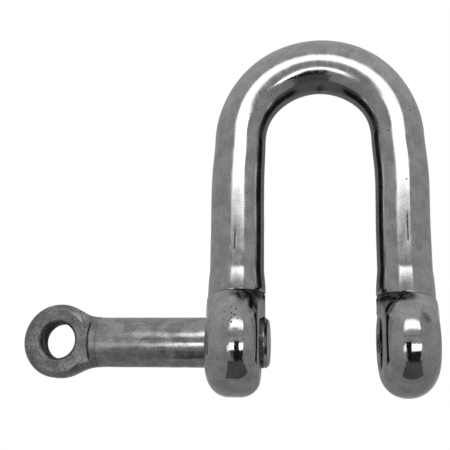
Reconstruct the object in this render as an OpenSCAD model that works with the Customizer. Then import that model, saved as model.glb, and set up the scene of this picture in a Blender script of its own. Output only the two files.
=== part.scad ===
// Dee shackle: a round bar bent into a straight-sided D with an ear forged on each end,
// closed by a captive pin with a flattened eye. Millimetres.
//
// Origin: on the pin's axis, midway between the ears' inner faces.
// +X runs along the pin towards the tapped ear, +Z towards the bow. The bow lies in the XZ plane.
// The pin is drawn backed out, as on an open shackle, and slides along +X to close it.

/* [Bow] */
// Diameter of the round bar
bar_d = 7.6; // [7:0.1:7.8]
// Clear width between the ears
inside_w = 16; // [15:0.5:18]
// Height of the centre of the bow's half circle above the pin's axis
bow_h = 29.4; // [24:0.2:36]

/* [Ears] */
// Radius of each ear's disc about the pin's axis
ear_r = 7.35; // [7.2:0.05:7.45]
// Thickness of each ear
ear_t = 7.8; // [7.6:0.1:8.4]
// Rounding where the rim meets the inner face
inner_round_r = 2.9; // [2.4:0.1:3]
// Rounding where the rim meets the outer face
outer_round_r = 3.8; // [3.2:0.1:3.9]
// How far the outer face is crowned across its flat
ear_crown = 0.2; // [0.15:0.05:0.3]
// Height of the seam between bar and ear above the pin's axis
seam_h = 7.5; // [7.5:0.1:8.5]

/* [Holes] */
// Radial clearance between the pin and both holes
fit_c = 0.05; // [0.04:0.01:0.08]
// Diameter of the countersunk mouth on the tapped ear's inner face
tapped_mouth_d = 7.6; // [7.4:0.1:8]
// Diameter of the seat for the pin's neck on the plain ear's outer face
neck_seat_d = 8.6; // [8.4:0.1:9]
// Depth of the neck's seat
neck_seat_depth = 1.4; // [1.35:0.05:1.6]
// Diameter of the retaining ring's wire
ring_wire_d = 0.9; // [0.7:0.1:0.9]
// Opening of the retaining ring in degrees
ring_gap = 36; // [20:2:60]

/* [Pin] */
// Diameter of the shank
shank_d = 7; // [6.8:0.1:7]
// Length from the shoulder of the flattened eye to the tip
pin_reach = 25.9; // [25.5:0.1:26.5]
// How far the tip shows past the plain ear's inner face when the pin is backed out
tip_show = 0.9; // [0.8:0.1:1.3]
// Pitch of the thread
pitch = 1; // [0.9:0.05:1]
// Number of thread grooves on the pin
pin_grooves = 4; // [3:1:4]
// Depth of the thread
thread_depth = 0.5; // [0.4:0.05:0.55]
// Chamfer on the tip
tip_chamfer = 0.4; // [0.3:0.05:0.5]

/* [Eye] */
// Outside diameter of the eye
eye_d = 10.6; // [10.4:0.1:10.8]
// Diameter of the eye's hole
eye_hole_d = 5.2; // [5:0.1:5.6]
// Thickness of the flattened eye
eye_t = 3.5; // [3.2:0.1:4]
// Rounding around the eye's rim
eye_round_r = 1.2; // [0.8:0.1:1.4]
// Chamfer at each mouth of the eye's hole
eye_chamfer = 0.5; // [0.3:0.05:0.6]
// Distance from the eye's centre to the shoulder where its flat ends
shoulder_x = 4.2; // [4:0.1:4.4]
// Radius of the hollow that blends the eye into the shank
neck_hollow_r = 6; // [5:0.5:7]

/* [Hidden] */
$fn = 96;

bar_r = bar_d / 2;
half_gap = inside_w / 2;
leg_proud = 0.05;
leg_x = half_gap - leg_proud + bar_r;
shank_r = shank_d / 2;
hole_r = shank_r + fit_c;
past = 1;

// The outer face's crown is part of a sphere that falls by ear_crown at the edge of the flat
outer_flat_r = ear_r - outer_round_r;
inner_flat_r = ear_r - inner_round_r;
crown_r = (outer_flat_r * outer_flat_r + ear_crown * ear_crown) / (2 * ear_crown);
outer_x = half_gap + ear_t;

// The pin, backed out
tip_x = -half_gap + tip_show;
shoulder_end_x = tip_x - pin_reach;
eye_x = shoulder_end_x - shoulder_x;
eye_r = eye_d / 2;
eye_hole_r = eye_hole_d / 2;

// Behind the tip: a plain pilot, the thread's grooves, and an undercut that the ring snaps into
pilot_l = 0.8;
groove_w = 0.7 * pitch;
thread_end_x = tip_x - pilot_l - pin_grooves * pitch;
undercut_w = ring_wire_d + 0.2;
undercut_depth = 0.45;
shank_end_x = thread_end_x - undercut_w;
ring_x = thread_end_x - undercut_w / 2;

// The ring floats in a slot inside the plain ear's bore, held open by the shank
ring_wire_r = ring_wire_d / 2;
ring_r = shank_r + 0.06 + ring_wire_r;
slot_r = ring_r + ring_wire_r + 0.08;
slot_w = ring_wire_d + 0.16;

// The tapped hole's grooves start behind its mouth
mouth_depth = tapped_mouth_d / 2 - hole_r;
tapped_grooves = floor((ear_t - 2 * mouth_depth - pitch) / pitch);

// Centre of the neck's hollow, which touches the eye's outline and the side of the shank
hollow_h = shank_r + neck_hollow_r;
hollow_x = eye_x + sqrt(pow(eye_r + neck_hollow_r, 2) - pow(hollow_h, 2));
web_h = hollow_h * eye_r / (eye_r + neck_hollow_r) - 0.1;

// A section drawn with the axis along its x, turned about the X axis
module turned() {
    rotate([90, 0, 90]) rotate_extrude() rotate(90) mirror([0, 1]) children();
}

// A round bar or cone along X, from radius r0 at x0 to radius r1 at x1
module rod(x0, x1, r0, r1) {
    translate([x0, 0, 0]) rotate([0, 90, 0]) cylinder(r1 = r0, r2 = r1, h = x1 - x0);
}

// Half section of an ear: flat inner face at x = 0, crowned outer face at x = ear_t
module ear_section() {
    intersection() {
        union() {
            square([ear_t, outer_flat_r]);
            square([ear_t - outer_round_r, inner_flat_r]);
            translate([inner_round_r, 0]) square([ear_t - inner_round_r - outer_round_r, ear_r]);
            translate([inner_round_r, inner_flat_r]) circle(r = inner_round_r);
            translate([ear_t - outer_round_r, outer_flat_r]) circle(r = outer_round_r);
        }
        square([ear_t, ear_r]);
        translate([ear_t - crown_r, 0]) circle(r = crown_r, $fn = 360);
    }
}

// The +X ear before drilling, with the end of the bar that it was forged from
module ear_blank() {
    translate([half_gap, 0, 0]) turned() ear_section();
    translate([leg_x, 0, inner_flat_r]) cylinder(d = bar_d, h = seam_h - inner_flat_r);
}

module bow_bar() {
    color("gainsboro") {
        translate([0, 0, bow_h]) rotate([90, 0, 0])
            rotate_extrude(angle = 180) translate([leg_x, 0]) circle(d = bar_d);
        for (side = [-1, 1])
            translate([side * leg_x, 0, seam_h]) cylinder(d = bar_d, h = bow_h - seam_h);
    }
}

module plain_ear() {
    seat_r = neck_seat_d / 2;
    color("silver") difference() {
        mirror([1, 0, 0]) ear_blank();
        rod(-outer_x - past, past - half_gap, hole_r, hole_r);
        rod(-outer_x - past, -outer_x, seat_r, seat_r);
        rod(-outer_x, neck_seat_depth - outer_x, seat_r, hole_r);
        rod(ring_x - slot_w / 2, ring_x + slot_w / 2, slot_r, slot_r);
    }
}

module tapped_ear() {
    mouth_r = tapped_mouth_d / 2;
    color("silver") difference() {
        ear_blank();
        rod(half_gap - past, outer_x + past, hole_r, hole_r);
        rod(half_gap - past, half_gap + mouth_depth, mouth_r + past, hole_r);
        for (i = [1 : tapped_grooves])
            translate([half_gap + mouth_depth + i * pitch, 0, 0]) inner_groove();
    }
}

// One turn of the tapped hole's thread
module inner_groove() {
    rod(-groove_w / 2, 0, hole_r, hole_r + thread_depth);
    rod(0, groove_w / 2, hole_r + thread_depth, hole_r);
}

module retaining_ring() {
    color("dimgray") translate([ring_x, 0, 0]) rotate([0, 90, 0])
        rotate_extrude(angle = 360 - ring_gap) translate([ring_r, 0])
            circle(r = ring_wire_r, $fn = 32);
}

module pin_shank() {
    color("darkgray") rod(hollow_x, shank_end_x, shank_r, shank_r);
}

module pin_thread() {
    color("darkgray") difference() {
        union() {
            rod(shank_end_x, thread_end_x, shank_r - undercut_depth, shank_r - undercut_depth);
            rod(thread_end_x, tip_x - tip_chamfer, shank_r, shank_r);
            rod(tip_x - tip_chamfer, tip_x, shank_r, shank_r - tip_chamfer);
        }
        for (i = [0 : pin_grooves - 1])
            translate([thread_end_x + (i + 0.5) * pitch, 0, 0]) outer_groove();
    }
}

// One turn of the pin's thread: a ring with a V section that points at the axis
module outer_groove() {
    difference() {
        rod(-groove_w / 2, groove_w / 2, shank_r + past, shank_r + past);
        rod(-groove_w, 0, shank_r + thread_depth, shank_r - thread_depth);
        rod(0, groove_w, shank_r - thread_depth, shank_r + thread_depth);
    }
}

// Half section of the eye's flattened ring, with its rim rounded and its hole chamfered
module eye_section() {
    half_t = eye_t / 2;
    round_x = eye_r - eye_round_r;
    difference() {
        union() {
            translate([eye_hole_r, -half_t]) square([round_x - eye_hole_r, eye_t]);
            translate([round_x, eye_round_r - half_t])
                square([eye_round_r, eye_t - 2 * eye_round_r]);
            for (side = [-1, 1])
                translate([round_x, side * (half_t - eye_round_r)]) circle(r = eye_round_r);
        }
        for (side = [-1, 1])
            translate([eye_hole_r, side * half_t]) rotate(45)
                square(eye_chamfer * sqrt(2), center = true);
    }
}

module pin_eye() {
    color("darkgray") {
        translate([eye_x, 0, 0]) rotate([90, 0, 0]) rotate_extrude() eye_section();
        neck_web();
        neck();
    }
}

// The flat between the eye's ring and the shank, hollowed above and below
module neck_web() {
    web_x = eye_x + eye_hole_r + eye_chamfer;
    difference() {
        translate([web_x, -eye_t / 2, -web_h]) cube([shoulder_end_x - web_x, eye_t, 2 * web_h]);
        for (side = [-1, 1])
            translate([hollow_x, 0, side * hollow_h]) rotate([90, 0, 0])
                cylinder(r = neck_hollow_r, h = eye_t + past, center = true);
    }
}

// The round end of the shank, which swells towards the shoulder
module neck() {
    difference() {
        rod(shoulder_end_x, hollow_x, hollow_h / 2, hollow_h / 2);
        translate([hollow_x, 0, 0]) rotate([0, 90, 0])
            rotate_extrude() translate([hollow_h, 0]) circle(r = neck_hollow_r);
    }
}

bow_bar();
plain_ear();
tapped_ear();
retaining_ring();
pin_shank();
pin_thread();
pin_eye();
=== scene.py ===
import math

import bpy
import numpy as np
from mathutils import Euler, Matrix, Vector


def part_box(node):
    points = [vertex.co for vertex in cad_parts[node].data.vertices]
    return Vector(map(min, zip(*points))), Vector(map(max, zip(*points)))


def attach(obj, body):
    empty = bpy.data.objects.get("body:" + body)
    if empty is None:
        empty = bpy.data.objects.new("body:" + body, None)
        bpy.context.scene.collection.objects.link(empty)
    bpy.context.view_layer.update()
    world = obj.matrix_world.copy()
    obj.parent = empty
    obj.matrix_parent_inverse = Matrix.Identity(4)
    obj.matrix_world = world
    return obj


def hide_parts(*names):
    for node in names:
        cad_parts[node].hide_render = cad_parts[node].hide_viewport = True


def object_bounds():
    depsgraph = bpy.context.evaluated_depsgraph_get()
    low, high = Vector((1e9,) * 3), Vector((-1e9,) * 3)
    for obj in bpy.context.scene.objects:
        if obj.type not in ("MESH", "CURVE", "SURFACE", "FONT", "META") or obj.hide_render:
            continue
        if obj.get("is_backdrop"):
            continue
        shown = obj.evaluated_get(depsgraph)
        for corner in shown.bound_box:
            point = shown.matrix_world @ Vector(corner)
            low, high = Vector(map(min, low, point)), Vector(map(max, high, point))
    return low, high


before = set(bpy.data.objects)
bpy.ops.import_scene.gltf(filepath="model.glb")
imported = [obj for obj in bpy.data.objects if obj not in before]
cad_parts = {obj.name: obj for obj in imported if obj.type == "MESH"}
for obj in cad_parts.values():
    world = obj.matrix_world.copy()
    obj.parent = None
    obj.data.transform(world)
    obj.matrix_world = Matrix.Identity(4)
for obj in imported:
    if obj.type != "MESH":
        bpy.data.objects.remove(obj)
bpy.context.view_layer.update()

# ---------------------------------------------------------------- sizes, from the frame
# Shapes are worked out in millimetres and turned into metres when a mesh is made.
MM = 1000.0
# The photo's bar has a radius this much less than the CAD's, and legs this much nearer the middle
BAR_THINNER = 0.04
LEG_NEARER = 0.05
# Radial clearance between the pin and its holes, as in the CAD
FIT = 0.05
# Radius of the eye's hole, which looks a little smaller in the photo than the CAD's
EYE_HOLE_R = 2.52


def box_mm(node):
    """The two corners of a node's box, in millimetres."""
    low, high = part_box(node)
    return np.array(low) * MM, np.array(high) * MM


bar_high = box_mm("bow_bar")[1]
CAD_BAR_R = bar_high[1]
LEG_X = bar_high[0] - CAD_BAR_R - LEG_NEARER
BAR_R = CAD_BAR_R - BAR_THINNER
BOW_TOP = bar_high[2]

EAR_R = -box_mm("plain_ear")[0][2]
EAR_OUT = box_mm("tapped_ear")[1][0]

shank_low, shank_high = box_mm("pin_shank")
SHANK_R = shank_high[2]
HOLE_R = SHANK_R + FIT
thread_low, thread_high = box_mm("pin_thread")
TIP_X = thread_high[0]
THREAD_X = thread_low[0]

eye_low, eye_high = box_mm("pin_eye")
EYE_R = eye_high[2]
EYE_X = eye_low[0] + EYE_R
NECK_X = shank_low[0]

ring_low, ring_high = box_mm("retaining_ring")
WIRE_R = (ring_high[0] - ring_low[0]) / 2
RING_X = (ring_high[0] + ring_low[0]) / 2
RING_R = ring_high[2] - WIRE_R


# ---------------------------------------------------------------- implicit shapes
def blend(a, b, k):
    """Union of two fields with a fillet of about k."""
    h = np.maximum(k - np.abs(a - b), 0) / k
    return np.minimum(a, b) - h * h * k * 0.25


def common(a, b, k):
    """What a and b share, with the edge rounded by about k."""
    return -blend(-a, -b, k)


def carve(a, b, k):
    """What is left of a outside b, with the edge rounded by about k."""
    return common(a, -b, k)


def smooth(x, low, high):
    """0 below low, 1 above high, and a smooth step in between."""
    t = np.clip((x - low) / (high - low), 0, 1)
    return t * t * (3 - 2 * t)


def bell(distance, width):
    """1 where the distance is 0, falling away smoothly on both sides."""
    return np.exp(-(distance / width) ** 2)


def rounded(u, v, r):
    """2D distance to the corner where u < 0 and v < 0 meet, rounded by r."""
    qu = u + r
    qv = v + r
    return np.hypot(np.maximum(qu, 0), np.maximum(qv, 0)) + np.minimum(np.maximum(qu, qv), 0) - r


# Numbers that scatter a cell's place and the seed over the whole numbers
HASH_X, HASH_Y, HASH_Z, HASH_SEED = 73856093, 19349663, 83492791, 7919
HASH_FIRST, HASH_ADD, HASH_SECOND = 1103515245, 12345, 1597334677


def value_noise(p, scale, seed):
    """Smooth noise from -1 to 1 at points p, with lumps about scale wide."""
    q = p / scale
    cell = np.floor(q).astype(np.int64)
    f = q - cell
    f = f * f * (3 - 2 * f)
    total = 0
    for corner in range(8):
        step = np.array([corner & 1, corner >> 1 & 1, corner >> 2 & 1])
        at = cell + step
        key = at[..., 0] * HASH_X ^ at[..., 1] * HASH_Y ^ at[..., 2] * HASH_Z ^ seed * HASH_SEED
        key = (key & 0xFFFFFFF) * HASH_FIRST + HASH_ADD
        key = (key >> 7 & 0xFFFFFF) * HASH_SECOND
        lump = (key >> 9 & 0xFFFF) / 32767.5 - 1
        weight = np.prod(np.where(step, f, 1 - f), axis=-1)
        total = total + weight * lump
    return total


def forged(p, amount, scale, seed):
    """The slight unevenness that a forged and polished surface keeps."""
    return amount * (value_noise(p, scale, seed) + 0.4 * value_noise(p, scale / 2.3, seed + 1))


def net(field, low, high, cell):
    """Points and quads of the surface field = 0 between two corners, by surface nets."""
    counts = np.ceil((high - low) / cell).astype(int) + 1
    axes = [low[i] + cell * np.arange(counts[i]) for i in range(3)]
    values = np.empty(counts)
    for i, x in enumerate(axes[0]):
        grid = np.stack(np.meshgrid([x], axes[1], axes[2], indexing="ij"), -1)
        values[i] = field(grid)[0]
    inside = values < 0
    sums = np.zeros((int(np.prod(counts)), 4))
    quads = []
    for axis in range(3):
        first = [slice(None)] * 3
        second = [slice(None)] * 3
        first[axis] = slice(0, -1)
        second[axis] = slice(1, None)
        first, second = tuple(first), tuple(second)
        found = np.argwhere(inside[first] != inside[second])
        a = values[first][tuple(found.T)]
        b = values[second][tuple(found.T)]
        point = found.astype(float)
        point[:, axis] += a / (a - b)
        u, v = (axis + 1) % 3, (axis + 2) % 3
        corners = []
        for du, dv in ((0, 0), (1, 0), (1, 1), (0, 1)):
            c = found.copy()
            c[:, u] -= du
            c[:, v] -= dv
            corners.append(np.ravel_multi_index(tuple(c.T), counts))
        for index in corners:
            for k in range(3):
                sums[:, k] += np.bincount(index, point[:, k], len(sums))
            sums[:, 3] += np.bincount(index, minlength=len(sums))
        face = np.stack(corners, 1)
        flip = a > 0
        face[flip] = face[flip][:, ::-1]
        quads.append(face)
    quads = np.concatenate(quads)
    used = np.unique(quads)
    points = low + cell * sums[used, :3] / sums[used, 3:]
    return points, np.searchsorted(used, quads)


def slope(field, p, step=0.01):
    """Gradient of the field at points p."""
    parts = []
    for axis in range(3):
        d = np.zeros(3)
        d[axis] = step
        parts.append((field(p + d) - field(p - d)) / (2 * step))
    return np.stack(parts, -1)


def settle(field, points, quads, cell):
    """Evens the mesh out and puts its points on the surface."""
    around = [(k, (k + other) % 4) for k in range(4) for other in (1, 3)]
    share = sum(np.bincount(quads[:, k], minlength=len(points)) for k, _ in around)
    for turn in range(3):
        if turn < 2:
            total = np.zeros_like(points)
            for k, to in around:
                for axis in range(3):
                    total[:, axis] += np.bincount(quads[:, k], points[quads[:, to], axis], len(points))
            points = points + 0.5 * (total / share[:, None] - points)
        for _ in range(2):
            g = slope(field, points)
            size = np.maximum((g * g).sum(-1), 0.2)
            move = np.clip(field(points) / size, -cell, cell)
            points = points - move[:, None] * g
    return points


def finish_mesh(name, points, faces, material, body, nodes, normals=None, wear_and_painted_shade=()):
    """Makes the piece, in metres, and ties it to the frame."""
    mesh = bpy.data.meshes.new(name)
    mesh.from_pydata((points / MM).tolist(), [], [list(f) for f in faces])
    mesh.validate()
    mesh.shade_smooth()
    if normals is not None:
        mesh.normals_split_custom_set_from_vertices(normals.tolist())
    # The grime layer holds dirt and painted shade; the pits layer holds pits
    for label, amount in zip(("grime_and_painted_shade", "pits"), wear_and_painted_shade):
        layer = mesh.attributes.new(label, "FLOAT", "POINT")
        layer.data.foreach_set("value", amount(points).astype(np.float32))
    mesh.materials.append(material)
    piece = bpy.data.objects.new(name, mesh)
    bpy.context.scene.collection.objects.link(piece)
    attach(piece, body)
    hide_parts(*nodes)
    return piece


def solid(name, field, low, high, cell, material, body, nodes, wear_and_painted_shade=()):
    """A piece from an implicit shape."""
    points, faces = net(field, np.array(low, float), np.array(high, float), cell)
    points = settle(field, points, faces, cell)
    normals = slope(field, points, 0.02)
    normals /= np.linalg.norm(normals, axis=-1, keepdims=True)
    return finish_mesh(name, points, faces, material, body, nodes, normals, wear_and_painted_shade)


def skin(rings):
    """Faces of a tube through rings of points, closed at both ends; rings is (n, m, 3)."""
    rows, around = rings.shape[:2]
    i, j = np.meshgrid(np.arange(rows - 1), np.arange(around), indexing="ij")
    k = (j + 1) % around
    faces = np.stack([i * around + j, i * around + k, (i + 1) * around + k, (i + 1) * around + j], -1)
    faces = faces.reshape(-1, 4).tolist()
    faces.append(list(range(around))[::-1])
    faces.append(list(range((rows - 1) * around, rows * around)))
    return faces


def tube(name, rings, material, body, nodes, wear_and_painted_shade=()):
    """A piece from rings of points, turned so that its faces look outwards."""
    faces = skin(rings)
    points = rings.reshape(-1, 3)
    corners = points[[f[:3] for f in faces[:-2]]]
    volume = np.einsum("ij,ij->i", corners[:, 0], np.cross(corners[:, 1], corners[:, 2])).sum()
    if volume < 0:
        faces = [f[::-1] for f in faces]
    return finish_mesh(name, points, faces, material, body, nodes, None, wear_and_painted_shade)


def turned(name, profile, swell, material, body, nodes, wear_and_painted_shade=(), around=128):
    """A piece turned about the pin's axis; swell(x, angle) is added to each radius."""
    angle = np.linspace(0, 2 * np.pi, around, endpoint=False)
    x, r = (v[:, None] for v in np.array(profile).T)
    r = np.maximum(r + swell(x, angle, r), 0.02)
    x = np.broadcast_to(x, r.shape)
    rings = np.stack([x, r * np.cos(angle), r * np.sin(angle)], -1)
    return tube(name, rings, material, body, nodes, wear_and_painted_shade)


def line(points, step):
    """Points along a line through the given corners, no more than step apart."""
    out = [points[0]]
    for a, b in zip(points, points[1:]):
        n = max(1, math.ceil(math.dist(a, b) / step))
        out += [tuple(np.array(a) + (np.array(b) - a) * k / n) for k in range(1, n + 1)]
    return out


# ---------------------------------------------------------------- the body's shape
# The bow is a half circle of radius BOW_R about BOW_Z, a little tighter than the legs are apart,
# and the legs close in on it over the last LEG_TURN below. Its crown has the radius CROWN_R.
BOW_R = LEG_X - 0.31
CROWN_R = BAR_R + 0.23
BOW_Z = BOW_TOP - CROWN_R - BOW_R + 0.2
LEG_TURN = 12
EAR_CROWN = 0.25
# Unevenness of bar and ears: height, width of the lumps, and seed
BODY_LUMPS = (0.016, 3.6, 11)
# The ears were forged by hand and differ a little. Each has:
#   inside, outside   its faces' distances from the middle
#   inner, outer      rounding of the rim's inner and outer edge, at the top and at the front
#   cut               how far the inner and outer faces cut into the front's rounding
#   turn, lean        how much the inner face turns and the outer face leans
#   stretch, grow     how much further the rim reaches up to the seam, and how much wider it is
#   seam, flare       heights of the seam and of the top of the flare above it
#   bulge             how far the leg bulges below the bow
PLAIN = dict(
    side=-1, inside=8.21, outside=EAR_OUT + 0.1, inner=(2.8, 3.9), outer=(3.2, 4.8), cut=(0.5, 0.6),
    turn=0.06, lean=0.045, stretch=0.5, grow=0.12, seam=6.85, flare=10.1, bulge=0.17,
)
TAPPED = dict(
    side=1, inside=7.97, outside=EAR_OUT + 0.22, inner=(3.4, 3.8), outer=(4.0, 3.95), cut=(0.4, 0.5),
    turn=-0.06, lean=0.0, stretch=0.15, grow=0.0, seam=6.35, flare=9.9, bulge=0.28,
)
# Over this height the flare's top eases into the straight leg
FLARE_SOFT = 0.12
# Forging laps along the front of the legs: x, and the heights where each starts and ends
LAPS = ((-LEG_X + 0.12, 12.0, 16.0), (LEG_X + 0.3, 13.0, 17.6))


def sided(x, key):
    """A measure of the ear on the same side as x."""
    return np.where(x < 0, PLAIN[key], TAPPED[key])


def seam_height(x):
    """The seam runs level over the leg and dips on its outer side."""
    return sided(x, "seam") - 0.04 * np.maximum(np.abs(x) - LEG_X, 0) ** 2


def bulge_at(z):
    """The share of a leg's bulge at height z."""
    return bell(z - BOW_Z + 5.4, 4.6)


def leg_centre(z, ear):
    """How far a leg's centreline lies from the middle at height z."""
    return LEG_X + (BOW_R - LEG_X) * smooth(z, BOW_Z - LEG_TURN, BOW_Z) + ear["bulge"] * bulge_at(z)


def bar_radius(x, z):
    """The bar is thicker over the crown, along the plain leg and at the seams, thinner in its bends."""
    crown = (CROWN_R - BAR_R) * smooth(z, BOW_Z - 2, BOW_Z + BOW_R)
    # Bending stretched it, a little more on the tapped ear's side
    bend = (0.12 + 0.07 * smooth(x, -6, 6)) * bell(z - BOW_Z - 5.5, 4)
    left = 0.1 * smooth(-x, 3, LEG_X) * (1 - smooth(z, BOW_Z - 8, BOW_Z))
    # The flare widens steadily at first and less and less towards the seam
    top, seam = sided(x, "flare"), sided(x, "seam")
    below = FLARE_SOFT * np.log1p(np.exp((top - np.clip(z, seam, top + 2)) / FLARE_SOFT))
    flare = 0.125 * below - 0.0525 * below ** 2 / (top - seam)
    return BAR_R + crown - bend + left + flare


def bar_rings(step, around):
    """Rings of the bar, from the plain ear's seam over the bow to the tapped ear's."""
    legs = []
    for ear in (PLAIN, TAPPED):
        leg_z = np.linspace(ear["seam"], BOW_Z, int((BOW_Z - ear["seam"]) / step))
        fine_z = ear["seam"] + np.array([0, 0.03, 0.06, 0.1, 0.15, 0.2])
        leg_z = np.concatenate([fine_z, leg_z[1:]])
        legs.append(np.stack([ear["side"] * leg_centre(leg_z, ear), leg_z], -1))
    turn = np.linspace(0, np.pi, int(np.pi * BOW_R / step))[1:-1]
    bow = np.stack([-BOW_R * np.cos(turn), BOW_Z + BOW_R * np.sin(turn)], -1)
    bow[:, 0] += np.sign(bow[:, 0]) * sided(bow[:, 0], "bulge") * bulge_at(bow[:, 1])
    path = np.concatenate([legs[0], bow, legs[1][::-1]])
    along = np.gradient(path, axis=0)
    along /= np.linalg.norm(along, axis=-1, keepdims=True)
    out = np.stack([-along[:, 1], along[:, 0]], -1)
    angle = np.linspace(0, 2 * np.pi, around, endpoint=False)
    radius = bar_radius(path[:, 0], path[:, 1])[:, None] * np.ones(around)
    side = np.cos(angle)

    def swept(radius):
        """Points at the given radii about the bar's centreline."""
        x = path[:, 0:1] + radius * side * out[:, 0:1]
        z = path[:, 1:2] + radius * side * out[:, 1:2]
        return np.stack([x, -radius * np.sin(angle), z], -1)

    even = swept(radius)
    lump = forged(even, *BODY_LUMPS) - seam_depth(even) - lap_depth(even)
    rings = swept(radius + lump)
    # The ends are level rings, so the last 2 mm are bent to follow the seam's dip
    x, z = rings[..., 0], rings[..., 2]
    seam = sided(x, "seam")
    rings[..., 2] = z + (seam_height(x) - seam) * (1 - smooth(z, seam, seam + 2))
    return rings


def seam_depth(p):
    """Depth of the groove where the bar was forged into an ear: deeper towards the inside."""
    inner = 1 - smooth(np.abs(p[..., 0]), LEG_X - 2.5, LEG_X + 1)
    depth = 0.05 + 0.12 * inner + 0.03 * value_noise(p, 1.1, 5)
    return np.maximum(depth, 0) * bell(p[..., 2] - seam_height(p[..., 0]), 0.13)


def lap_depth(p):
    """Depth of the forging laps."""
    total = 0
    wander = 0.06 * value_noise(p, 1.3, 21)
    for x, low, high in LAPS:
        near = bell(p[..., 0] - x - wander, 0.09) * (p[..., 1] < 0)
        length = smooth(p[..., 2], low, low + 0.8) * (1 - smooth(p[..., 2], high - 1.2, high))
        total = total + 0.05 * near * length
    return total


def ear_disc(p, ear):
    """The ear's disc about the pin's axis, flat inside, crowned outside and fuller at the seam."""
    along = ear["side"] * p[..., 0]
    y, z = p[..., 1], p[..., 2]
    r = np.hypot(y, z - ear["stretch"] * smooth(z, 2.2, ear["seam"]))
    # 1 at the disc's front and back, 0 at its top and bottom
    front = y * y / (y * y + z * z + 0.1)
    inner_round = ear["inner"][0] + (ear["inner"][1] - ear["inner"][0]) * front
    outer_round = ear["outer"][0] + (ear["outer"][1] - ear["outer"][0]) * front
    crown = EAR_CROWN * np.minimum(r / (EAR_R - ear["outer"][0]), 1) ** 2 + ear["lean"] * z
    rim = r - EAR_R - ear["grow"]
    face = ear["inside"] + ear["turn"] * y - along
    back = along + crown - ear["outside"]
    inner = common(rounded(face - ear["cut"][0] * front, rim, inner_round), face, 0.3 + 0.3 * front)
    outer = common(rounded(back - ear["cut"][1] * front, rim, outer_round), back, 0.3)
    return np.maximum(inner, outer)


def ear_body(p, ear):
    """Disc and the end of the bar it was forged from, up to the seam."""
    along = ear["side"] * p[..., 0]
    bar = np.hypot(along - LEG_X, p[..., 1]) - bar_radius(p[..., 0], p[..., 2])
    bar = np.maximum(bar, 2 - p[..., 2])
    # The bar runs into the disc with a crisp edge inside and a soft one outside
    k = 0.3 + 1.3 * smooth(along, LEG_X - 0.5, LEG_X + 3)
    whole = blend(bar, ear_disc(p, ear), k) - forged(p, *BODY_LUMPS) + seam_depth(p)
    return common(whole, p[..., 2] - seam_height(p[..., 0]), 0.05)


# The plain ear's bore widens by SEAT_SLOPE over the last SEAT_DEPTH, to take the pin's neck
SEAT_DEPTH = 2.1
SEAT_SLOPE = 0.19


def plain_ear_field(p):
    """The plain ear, bored through."""
    r = np.hypot(p[..., 1], p[..., 2])
    seat = HOLE_R + np.maximum(SEAT_DEPTH - (p[..., 0] + PLAIN["outside"]), 0) * SEAT_SLOPE
    return carve(ear_body(p, PLAIN), r - seat, 0.1)


def tapped_ear_field(p):
    """The tapped ear, with a raised lip around its countersunk mouth and a thread of 1 mm pitch."""
    face, back = TAPPED["inside"], TAPPED["outside"]
    r = np.hypot(p[..., 1], p[..., 2])
    lip = 0.06 * bell(r - HOLE_R - 0.55, 0.2) * (p[..., 0] < face + 1)
    turns = p[..., 0] + np.arctan2(p[..., 1], p[..., 2]) / (2 * np.pi)
    saw = np.abs((turns % 1) - 0.5) * 2
    inside = smooth(p[..., 0], face + 0.4, face + 0.9)
    inside = inside * (1 - smooth(p[..., 0], back - 0.9, back - 0.4))
    countersink = np.maximum(0.25 - (p[..., 0] - face), 0)
    bore = HOLE_R + 0.42 * saw * inside + countersink
    return carve(ear_body(p, TAPPED) - lip, (r - bore) * 0.8, 0.1)


# ---------------------------------------------------------------- the pin's shape
# Half the flattened eye's thickness, its edge's rounding, and how far it sits above the axis
EYE_HALF = 1.78
EYE_ROUND = 1.15
EYE_RISE = 0.12
# Where the flat ends in the round neck
SHOULDER_X = EYE_X + 4.9
# The hollow that leads from the eye's outline, which it touches at WEB_X, to the shank
HOLLOW_R = 6.0
HOLLOW_H = SHANK_R + HOLLOW_R
WEB_X = EYE_X + (NECK_X - EYE_X) * EYE_R / (EYE_R + HOLLOW_R)
THREAD_DEPTH = 0.45
RELIEF_DEPTH = 0.1


def eye_field(p):
    """The flattened eye and the neck that it ends in, up to the shank."""
    x, y = p[..., 0], p[..., 1]
    z = p[..., 2] - EYE_RISE * (1 - smooth(x, EYE_X, NECK_X))
    # The flattened plate: a ring, and a web hollowed above and below
    ring = np.hypot(x - EYE_X, z) - EYE_R + 0.06
    hollow = HOLLOW_R - np.hypot(np.minimum(x - NECK_X, 0), np.abs(z) - HOLLOW_H)
    web = np.maximum(np.maximum(hollow, WEB_X - x), np.abs(z) - EYE_R + 0.3)
    outline = np.minimum(ring, web)
    plate = rounded(outline, np.abs(y) - EYE_HALF, EYE_ROUND)
    # The round neck, swelling from the shank to the shoulder
    about = np.hypot(y, z)
    neck = HOLLOW_R - np.hypot(np.minimum(x - NECK_X, 0), about - HOLLOW_H)
    neck = np.maximum(neck, about - EYE_R)
    neck = common(neck, SHOULDER_X - x, 0.25)
    whole = blend(plate, neck, 0.1)
    # The hole, with its mouths chamfered
    mouth = EYE_HOLE_R + np.maximum(np.abs(y) - EYE_HALF + 0.4, 0) * 0.9
    whole = carve(whole, (np.hypot(x - EYE_X, z) - mouth) * 0.8, 0.08)
    whole = whole - forged(p, 0.02, 2.2, 31) * (1 - smooth(x, NECK_X - 2.5, NECK_X - 1.2))
    return common(whole, x - NECK_X, 0.05)


def shank_swell(x, angle, r):
    """Unevenness of the turned shank, drawn out around it."""
    ring = np.stack(np.broadcast_arrays(x * 2.5, r * np.cos(angle), r * np.sin(angle)), -1)
    return 0.012 * value_noise(ring, 1.6, 41)


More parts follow.
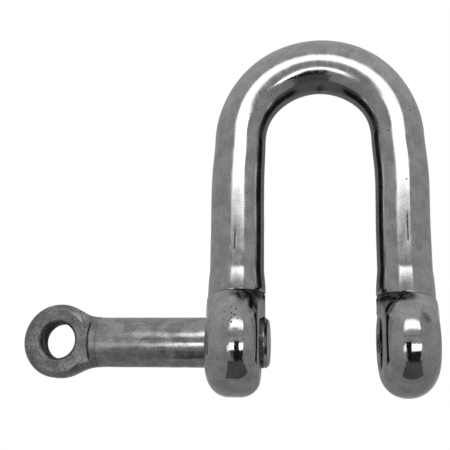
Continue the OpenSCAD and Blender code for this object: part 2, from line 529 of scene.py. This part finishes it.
def thread_swell(x, angle, r):
    """A thread of 1 mm pitch, and a shallow band of relief behind the tip."""
    turns = (x - TIP_X) + angle / (2 * np.pi)
    saw = np.maximum(1 - np.abs((turns % 1) - 0.5) / 0.38, 0)
    inside = smooth(x, THREAD_X + 1.0, THREAD_X + 1.3) * (1 - smooth(x, TIP_X - 1.7, TIP_X - 1.4))
    band = smooth(x, TIP_X - 0.8, TIP_X - 0.74) * (1 - smooth(x, TIP_X - 0.56, TIP_X - 0.5))
    return -(THREAD_DEPTH * saw * inside + RELIEF_DEPTH * band) * (r > SHANK_R - 0.3)


# ---------------------------------------------------------------- materials
class Nodes:
    """Short ways to add nodes to one node tree."""

    def __init__(self, tree):
        self.tree = tree
        tree.nodes.clear()

    def add(self, kind, **settings):
        node = self.tree.nodes.new(kind)
        for key, value in settings.items():
            setattr(node, key, value)
        return node

    def put(self, socket, value):
        if isinstance(value, bpy.types.NodeSocket):
            self.tree.links.new(value, socket)
        else:
            socket.default_value = value

    def math(self, operation, *values, clamp=False):
        node = self.add("ShaderNodeMath", operation=operation, use_clamp=clamp)
        for socket, value in zip(node.inputs, values):
            self.put(socket, value)
        return node.outputs[0]

    def ramp(self, value, low, high, to_low=0.0, to_high=1.0, smooth_step=True):
        node = self.add("ShaderNodeMapRange")
        node.interpolation_type = "SMOOTHSTEP" if smooth_step else "LINEAR"
        for socket, number in zip(node.inputs, (value, low, high, to_low, to_high)):
            self.put(socket, number)
        return node.outputs[0]

    def mix(self, factor, a, b):
        """a where factor is 0, b where it is 1; for single numbers."""
        node = self.add("ShaderNodeMix")
        for socket, value in zip((node.inputs[0], node.inputs[2], node.inputs[3]), (factor, a, b)):
            self.put(socket, value)
        return node.outputs[0]

    def between(self, value, low, high, soft):
        """1 between low and high, falling to 0 over the soft margin outside."""
        rise = self.ramp(value, low - soft, low + soft)
        fall = self.ramp(value, high - soft, high + soft, 1.0, 0.0)
        return self.math("MULTIPLY", rise, fall)


# Brightness and roughness where dirt and painted shade cover the steel, and the size of the cells that
# hold pits
DIRT_AND_PAINTED_SHADE_LEVEL = 0.018
DIRT_ROUGH = 0.62
PIT_SCALE = 2.2
# The outer end's dullness fades out over this length from the neck
DULL_LENGTH = 14


def steel(name, base, rough, spread, grain, stretch=(1, 1, 1), scratch_scale=2.6, relief=0.03,
          duller=0.0):
    """Worn stainless steel: mottled, scratched along one way, pitted, dark where grime stays, and
    darkened where shade is painted in holes and grooves.

    base is its brightness; rough and spread give the roughness and how much it varies; grain is how
    strong the mottling is; stretch and scratch_scale shape the scratches; relief is the bump's
    depth; and duller is added to the roughness at the pin's outer end.
    """
    material = bpy.data.materials.new(name)
    material.use_nodes = True
    nodes = Nodes(material.node_tree)

    def mapped(scale):
        """Object coordinates in millimetres, times scale."""
        node = nodes.add("ShaderNodeMapping")
        nodes.put(node.inputs["Vector"], nodes.add("ShaderNodeTexCoord").outputs["Object"])
        node.inputs["Scale"].default_value = [MM * s for s in scale]
        return node

    def noise(where, scale, detail):
        node = nodes.add("ShaderNodeTexNoise")
        nodes.put(node.inputs["Vector"], where.outputs[0])
        node.inputs["Scale"].default_value = scale
        node.inputs["Detail"].default_value = detail
        return node.outputs[0]

    def attribute(label):
        return nodes.add("ShaderNodeAttribute", attribute_name=label).outputs["Fac"]

    even = mapped((1, 1, 1))
    mottle = nodes.ramp(noise(even, 0.55, 3.0), 0.3, 0.7)
    scratch = nodes.ramp(noise(mapped(stretch), scratch_scale, 4.0), 0.3, 0.7)
    fine = nodes.ramp(noise(even, 5.0, 2.0), 0.25, 0.75)

    cells = nodes.add("ShaderNodeTexVoronoi")
    nodes.put(cells.inputs["Vector"], even.outputs[0])
    cells.inputs["Scale"].default_value = PIT_SCALE
    dot = nodes.ramp(cells.outputs["Distance"], 0.18, 0.38, 1.0, 0.0)
    chosen = nodes.add("ShaderNodeSeparateColor")
    nodes.put(chosen.inputs[0], cells.outputs["Color"])
    dot = nodes.math("MULTIPLY", dot, nodes.ramp(chosen.outputs[0], 0.3, 0.5))
    many = nodes.math("MAXIMUM", nodes.ramp(noise(even, 0.8, 1.0), 0.68, 0.72), attribute("pits"))
    pit = nodes.math("MULTIPLY", dot, many)

    # Grime and painted shade lie where the grime layer says so, broken up by noise; pits are dots in
    # chosen places
    grime_and_painted_shade = nodes.math("MULTIPLY", attribute("grime_and_painted_shade"), nodes.ramp(fine, 0.0, 1.0, 0.85, 1.2))
    smear = nodes.ramp(noise(even, 0.9, 4.0), 0.4, 0.6, 0.72, 1.2)
    grime_and_painted_shade = nodes.math("MULTIPLY", grime_and_painted_shade, smear, clamp=True)
    dirt_and_painted_shade = nodes.math("MAXIMUM", grime_and_painted_shade, pit, clamp=True)

    shade = nodes.math("MULTIPLY", nodes.ramp(mottle, 0.0, 1.0, 1.0 - grain, 1.0 + 0.3 * grain), base)
    shade = nodes.math("MULTIPLY", shade, nodes.ramp(scratch, 0.0, 1.0, 1.0 - 0.6 * grain, 1.0))
    speckle = nodes.ramp(fine, 0.0, 1.0, 1.0 - 0.9 * grain, 1.0 + 0.2 * grain)
    shade = nodes.math("MULTIPLY", shade, speckle)
    # Dirt and painted shade darken the steel to this level
    shade = nodes.mix(dirt_and_painted_shade, shade, DIRT_AND_PAINTED_SHADE_LEVEL)
    colour = nodes.add("ShaderNodeCombineColor")
    nodes.put(colour.inputs[0], shade)
    nodes.put(colour.inputs[1], shade)
    nodes.put(colour.inputs[2], nodes.math("MULTIPLY", shade, 1.008))

    roughness = nodes.math("ADD", nodes.ramp(mottle, 0.0, 1.0, rough, rough + spread),
                           nodes.ramp(scratch, 0.0, 1.0, 0.0, 0.6 * spread))
    if duller:
        along = nodes.add("ShaderNodeSeparateXYZ")
        nodes.put(along.inputs[0], even.outputs[0])
        fade = nodes.ramp(along.outputs[0], NECK_X, NECK_X + DULL_LENGTH, duller, 0.0)
        roughness = nodes.math("ADD", roughness, fade)
    roughness = nodes.mix(dirt_and_painted_shade, roughness, DIRT_ROUGH)

    height = nodes.math("MULTIPLY", scratch, 0.5)
    height = nodes.math("ADD", height, nodes.math("MULTIPLY", fine, 0.35))
    height = nodes.math("SUBTRACT", height, nodes.math("MULTIPLY", pit, 2.5))
    bump = nodes.add("ShaderNodeBump")
    bump.inputs["Strength"].default_value = 0.5
    bump.inputs["Distance"].default_value = relief * grain / MM
    nodes.put(bump.inputs["Height"], height)

    shader = nodes.add("ShaderNodeBsdfPrincipled")
    nodes.put(shader.inputs["Base Color"], colour.outputs[0])
    shader.inputs["Metallic"].default_value = 1.0
    nodes.put(shader.inputs["Roughness"], roughness)
    nodes.put(shader.inputs["Normal"], bump.outputs[0])
    nodes.put(nodes.add("ShaderNodeOutputMaterial").inputs["Surface"], shader.outputs[0])
    return material


bar_steel = steel("bar_steel", 0.61, 0.08, 0.07, 0.15, (1, 1, 0.12), scratch_scale=3.6, relief=0.02)
ear_steel = steel("ear_steel", 0.6, 0.05, 0.05, 0.16)
eye_steel = steel("eye_steel", 0.46, 0.34, 0.1, 0.3)
pin_steel = steel("pin_steel", 0.56, 0.1, 0.06, 0.26, (0.05, 1, 1), scratch_scale=5.0, duller=0.22)
wire_steel = steel("spring_wire", 0.4, 0.25, 0.1, 0.3, (1, 0.3, 0.3))


# ---------------------------------------------------------------- wear and painted shade, from 0 to 1 at each point
# Each of these takes the piece's points and is stored on its mesh, where steel() reads it.
# Smears on the ears' fronts: where (x, z), how wide and high, and how dark
EAR_SMEARS = (
    (-LEG_X + 1.4, 5.8, 0.6, 0.7, 1.6),
    (-LEG_X + 2.7, 5.0, 0.4, 1.2, 1.4),
    (-LEG_X + 0.8, 1.1, 0.55, 0.3, 0.7),
    (LEG_X - 0.9, 5.7, 1.5, 0.5, 1.8),
    (LEG_X + 1.6, 2.9, 0.5, 0.6, 0.7),
    (LEG_X + 2.1, 2.4, 0.4, 0.5, 0.8),
)


def blot(p, x, z, wide, high):
    """A soft patch on the front of the object."""
    return np.exp(-((p[:, 0] - x) / wide) ** 2 - ((p[:, 2] - z) / high) ** 2) * (p[:, 1] < 0)


def ear_grime_and_painted_shade(p):
    """Polishing residue under the seam on the inner half, where the wheel doesn't reach, and painted
    shade inside the bore.
    """
    seam = seam_height(p[:, 0])
    inner = 1 - smooth(np.abs(p[:, 0]), LEG_X - 1.8, LEG_X + 1.6)
    crease = bell(p[:, 2] - seam + 0.6, 0.45) * inner
    line = bell(p[:, 2] - seam, 0.1) * (0.35 + 0.65 * inner)
    # Painted shade inside the bore
    bore = smooth(HOLE_R + 0.1 - np.hypot(p[:, 1], p[:, 2]), 0, 0.1)
    smears = 0.0
    for x, z, wide, high, amount in EAR_SMEARS:
        smears = smears + amount * blot(p, x, z, wide, high)
    return np.clip(crease * 0.9 + line * 1.2 + bore + smears, 0, 1)


def bar_grime(p):
    """Dirt in the seam and in the forging laps."""
    inner = 1 - smooth(np.abs(p[:, 0]), LEG_X - 2, LEG_X + 3)
    line = bell(p[:, 2] - seam_height(p[:, 0]), 0.12) * (0.35 + 0.65 * inner)
    return np.clip(line + lap_depth(p) * 30, 0, 1)


def eye_grime_and_painted_shade(p):
    """Painted shade in the hole, and dirt with painted shade along the shoulder's edge."""
    # Painted shade on the hole's wall
    hole = smooth(EYE_HOLE_R + 0.1 - np.hypot(p[:, 0] - EYE_X, p[:, 2] - EYE_RISE), 0, 0.1)
    # Dirt and painted corner shade along the shoulder's edge
    edge = bell(p[:, 0] - SHOULDER_X - 0.12, 0.17) * (1 - smooth(np.abs(p[:, 2]), 2.0, 2.9))
    return np.clip(hole * 1.2 + 1.5 * edge, 0, 1)


def thread_painted_shade(p):
    """Painted shade in the relief behind the tip."""
    x = p[:, 0]
    # Painted shade in the groove
    return 0.7 * smooth(x, TIP_X - 1.1, TIP_X - 0.9) * (1 - smooth(x, TIP_X - 0.7, TIP_X - 0.55))


def ear_pits(p):
    """Clusters of pits: a dense one on the plain ear's front, a faint one on the tapped ear's."""
    plain = 1.5 * blot(p, -LEG_X + 0.4, 3.0, 1.2, 1.7)
    tapped = 0.4 * blot(p, LEG_X, 4.2, 1.6, 1.2)
    return np.clip(plain + tapped, 0, 1)


def eye_pits(p):
    """A few pits on the eye, and none on the neck."""
    flat = smooth(EYE_HALF + 0.1 - np.abs(p[:, 1]), 0, 0.1)
    return 0.55 * flat * (np.hypot(p[:, 0] - EYE_X, p[:, 2]) < EYE_R)


# ---------------------------------------------------------------- pieces
# Size of the net's cells, and the space left around an implicit shape
CELL = 0.16
MARGIN = 0.6
BAR_STEP = 0.25
BAR_AROUND = 160

tube("bow_bar_forging", bar_rings(BAR_STEP, BAR_AROUND),
     bar_steel, "shackle", ["bow_bar"], (bar_grime,))
solid("plain_ear_forging", plain_ear_field,
      (-PLAIN["outside"] - MARGIN, -EAR_R - MARGIN, -EAR_R - MARGIN),
      (-PLAIN["inside"] + MARGIN, EAR_R + MARGIN, PLAIN["seam"] + MARGIN),
      CELL, ear_steel, "shackle", ["plain_ear"], (ear_grime_and_painted_shade, ear_pits))
solid("tapped_ear_forging", tapped_ear_field,
      (TAPPED["inside"] - MARGIN, -EAR_R - MARGIN, -EAR_R - MARGIN),
      (TAPPED["outside"] + MARGIN, EAR_R + MARGIN, TAPPED["seam"] + MARGIN),
      CELL, ear_steel, "shackle", ["tapped_ear"], (ear_grime_and_painted_shade, ear_pits))

solid("pin_eye_flattened", eye_field,
      (EYE_X - EYE_R - MARGIN, -SHANK_R - 1.2, -EYE_R - MARGIN),
      (NECK_X + MARGIN, SHANK_R + 1.2, EYE_R + MARGIN),
      CELL * 0.8, eye_steel, "pin", ["pin_eye"], (eye_grime_and_painted_shade, eye_pits))

# Half sections of the shank and the threaded end: (x, radius) along the outline
shank_profile = line([(NECK_X, 0.5), (NECK_X, SHANK_R - 0.03), (NECK_X + 0.05, SHANK_R)], 0.2)
shank_profile += line([(NECK_X + 0.1, SHANK_R), (THREAD_X - 0.1, SHANK_R)], 0.3)
shank_end = [(THREAD_X - 0.02, SHANK_R - 0.02), (THREAD_X, SHANK_R - 0.08), (THREAD_X, 0.5)]
shank_profile += line(shank_end, 0.2)
turned("pin_shank_turned", shank_profile, shank_swell, pin_steel, "pin", ["pin_shank"])

UNDERCUT_R = SHANK_R - 0.45
thread_profile = line([(THREAD_X, 0.5), (THREAD_X, UNDERCUT_R), (THREAD_X + 1.0, UNDERCUT_R)], 0.15)
thread_profile += line([(THREAD_X + 1.1, SHANK_R - 0.1), (THREAD_X + 1.15, SHANK_R)], 0.05)
thread_profile += line([(THREAD_X + 1.2, SHANK_R), (TIP_X - 0.45, SHANK_R)], 0.06)
thread_profile += line([(TIP_X - 0.4, SHANK_R - 0.03), (TIP_X - 0.05, SHANK_R - 0.36)], 0.06)
thread_profile += line([(TIP_X, SHANK_R - 0.45), (TIP_X, 0.02)], 0.1)
turned("pin_thread_cut", thread_profile, thread_swell, pin_steel, "pin", ["pin_thread"],
       (thread_painted_shade,))

# The retaining ring is open over 36 degrees
RING_ARC = 324
arc = np.radians(np.linspace(0, RING_ARC, 120))
around_wire = np.linspace(0, 2 * np.pi, 24, endpoint=False)
ring_out = np.stack([np.zeros_like(arc), np.sin(arc), -np.cos(arc)], -1)
ring_rings = ring_out[:, None] * (RING_R + WIRE_R * np.cos(around_wire)[:, None])
ring_rings[..., 0] = RING_X + WIRE_R * np.sin(around_wire)
tube("retaining_ring_wire", ring_rings, wire_steel, "ring", ["retaining_ring"])

# ---------------------------------------------------------------- camera
# Fitted to the outlines of the bar, ears and pin in the photo; angles in radians
CAMERA_AT = Vector((2.40, -106.1, -9.89)) / MM
CAMERA_PITCH = 0.2454
CAMERA_YAW = 0.1494
CAMERA_ROLL = 0.0177
FOCAL_PX = 760.4
FRAME_PX = 450
SENSOR_MM = 36

camera = bpy.data.objects.new("camera", bpy.data.cameras.new("camera"))
bpy.context.scene.collection.objects.link(camera)
camera.data.sensor_width = SENSOR_MM
camera.data.lens = SENSOR_MM * FOCAL_PX / FRAME_PX
camera.data.clip_start = 0.005
camera.location = CAMERA_AT
camera.rotation_mode = "QUATERNION"
turn = Euler((math.pi / 2 + CAMERA_PITCH, 0, CAMERA_YAW), "XYZ").to_quaternion()
spin = Euler((0, 0, CAMERA_ROLL), "XYZ").to_quaternion()
camera.rotation_quaternion = turn @ spin
bpy.context.scene.camera = camera


# ---------------------------------------------------------------- light
def card(name, corners, material):
    """A flat studio card, seen only in reflections."""
    mesh = bpy.data.meshes.new(name)
    mesh.from_pydata([[v / MM for v in corner] for corner in corners], [], [list(range(len(corners)))])
    mesh.materials.append(material)
    piece = bpy.data.objects.new(name, mesh)
    bpy.context.scene.collection.objects.link(piece)
    piece.visible_camera = False
    piece.visible_shadow = False
    piece.visible_diffuse = False
    piece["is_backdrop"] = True
    return piece


def panel(name, low, high, material):
    """A card that spans two opposite corners, which share one coordinate."""
    u, v = [axis for axis in range(3) if low[axis] != high[axis]]
    corners = []
    for end_u, end_v in ((low, low), (high, low), (high, high), (low, high)):
        corner = list(low)
        corner[u] = end_u[u]
        corner[v] = end_v[v]
        corners.append(corner)
    return card(name, corners, material)


def glow(name, strength):
    """A material that gives off an even light, or hardly any."""
    material = bpy.data.materials.new(name)
    material.use_nodes = True
    nodes = Nodes(material.node_tree)
    shader = nodes.add("ShaderNodeEmission")
    shader.inputs["Strength"].default_value = strength
    output = nodes.add("ShaderNodeOutputMaterial")
    nodes.put(output.inputs["Surface"], shader.outputs[0])
    return material


# A light wall behind the camera: a softbox above, a window below, and the dark in between.
WALL_Y = -117.0
WALL_HALF = 230.0
WALL_PARTS = (
    # left, right, bottom, top, brightness, softness at the bottom, at the top and at the sides
    (-58, 96, -205, -108, 0.1, 3, 3, 4),
    (-30, 68, -112, -44, 0.02, 4, 4, 4),
    (-51, 75, 20, 112, 0.22, 8, 10, 2),
    (-44, 68, 20, 60, 0.38, 8, 3, 2),
    (-58, -40, 42, 100, 1.0, 8, 20, 5),
    (-44, 68, 52, 112, 2.5, 13, 40, 2.5),
    (-44, 68, -43, -12, 2.8, 2, 2, 2.5),
    (-62, -42, -50, -20, 1.6, 4, 4, 5),
)


def wall_light():
    """The light wall's material: its parts laid over each other, and clear elsewhere."""
    material = bpy.data.materials.new("light_wall")
    material.use_nodes = True
    nodes = Nodes(material.node_tree)
    spot = nodes.add("ShaderNodeSeparateXYZ")
    nodes.put(spot.inputs[0], nodes.add("ShaderNodeTexCoord").outputs["Object"])
    x = nodes.math("MULTIPLY", spot.outputs[0], MM)
    z = nodes.math("MULTIPLY", spot.outputs[2], MM)
    strength, cover = 0.0, 0.0
    for left, right, bottom, top, level, soft_low, soft_high, soft_side in WALL_PARTS:
        across = nodes.between(x, left, right, soft_side)
        rise = nodes.ramp(z, bottom - soft_low, bottom + soft_low)
        fall = nodes.ramp(z, top - soft_high, top + soft_high, 1.0, 0.0)
        here = nodes.math("MULTIPLY", across, nodes.math("MULTIPLY", rise, fall))
        strength = nodes.mix(here, strength, float(level))
        cover = nodes.math("MAXIMUM", cover, here)
    shine = nodes.add("ShaderNodeEmission")
    nodes.put(shine.inputs["Strength"], strength)
    clear = nodes.add("ShaderNodeBsdfTransparent")
    mix = nodes.add("ShaderNodeMixShader")
    nodes.put(mix.inputs[0], cover)
    nodes.put(mix.inputs[1], clear.outputs[0])
    nodes.put(mix.inputs[2], shine.outputs[0])
    nodes.put(nodes.add("ShaderNodeOutputMaterial").inputs["Surface"], mix.outputs[0])
    return material


panel("light_wall", (-WALL_HALF, WALL_Y, -WALL_HALF), (WALL_HALF, WALL_Y, WALL_HALF), wall_light())

# Cards around the shackle that shape its reflections: two opposite corners, and how bright each is
CARDS = {
    "lens_flag": ((-15, -68, -52), (9, -68, -2), 0.01),
    "fin_flag": ((0, -0.5, 9), (0, 4.5, 36), 0.01),
    "crown_flag": ((-0.9, -3, 33), (0.9, 5, 33), 0.12),
    "jaw_flag": ((0, -4, -6), (0, 1.5, 9), 0.01),
    "jaw_haze": ((0, -8, -6), (0, -4, 9), 0.3),
    "under_card": ((-45, -117, -110), (78, -14, -110), 0.09),
    "back_flag": ((-9, 9.5, 9), (9, 9.5, 41), 0.17),
    "low_back_flag": ((-9, 9.5, -14), (9, 9.5, 9), 0.28),
}
for name, (low, high, brightness) in CARDS.items():
    panel(name, low, high, glow(name, brightness))

# ---------------------------------------------------------------- the room
# White to the camera and to the floor; grey to the steel, lighter at the top and straight behind
world = bpy.data.worlds.new("studio")
bpy.context.scene.world = world
world.use_nodes = True
nodes = Nodes(world.node_tree)
way = nodes.add("ShaderNodeSeparateXYZ")
nodes.put(way.inputs[0], nodes.add("ShaderNodeTexCoord").outputs["Generated"])
level = nodes.ramp(way.outputs[2], -0.9, 0.1, 0.27, 0.37)
level = nodes.math("ADD", level, nodes.ramp(way.outputs[2], 0.2, 0.9, 0.0, 0.12))
level = nodes.math("ADD", level, nodes.ramp(way.outputs[1], 0.84, 0.97, 0.0, 0.15))
grey = nodes.add("ShaderNodeBackground")
nodes.put(grey.inputs["Strength"], level)
white = nodes.add("ShaderNodeBackground")
for background in (grey, white):
    background.inputs["Color"].default_value = (1, 1, 1, 1)
mix = nodes.add("ShaderNodeMixShader")
ray = nodes.add("ShaderNodeLightPath").outputs
nodes.put(mix.inputs[0], nodes.math("MAXIMUM", ray["Is Camera Ray"], ray["Is Diffuse Ray"]))
nodes.put(mix.inputs[1], grey.outputs[0])
nodes.put(mix.inputs[2], white.outputs[0])
nodes.put(nodes.add("ShaderNodeOutputWorld").inputs["Surface"], mix.outputs[0])
bpy.context.scene.view_settings.view_transform = "Standard"

# ---------------------------------------------------------------- floor
FLOOR_Z = -32.0
FLOOR_R = 150.0
FLOOR_SIDES = 96
floor = bpy.data.materials.new("floor")
floor.use_nodes = True
matt = floor.node_tree.nodes["Principled BSDF"].inputs
matt["Base Color"].default_value = (0.8, 0.8, 0.8, 1)
matt["Roughness"].default_value = 0.9
floor_edge = [
    (FLOOR_R * math.cos(a), FLOOR_R * math.sin(a), FLOOR_Z)
    for a in np.linspace(0, 2 * np.pi, FLOOR_SIDES + 1)[:-1]
]
ground = card("floor", floor_edge, floor)
ground.visible_camera = True
ground.visible_diffuse = True
ground.visible_shadow = True
ground.visible_glossy = False

# ---------------------------------------------------------------- the scene's size
low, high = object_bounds()
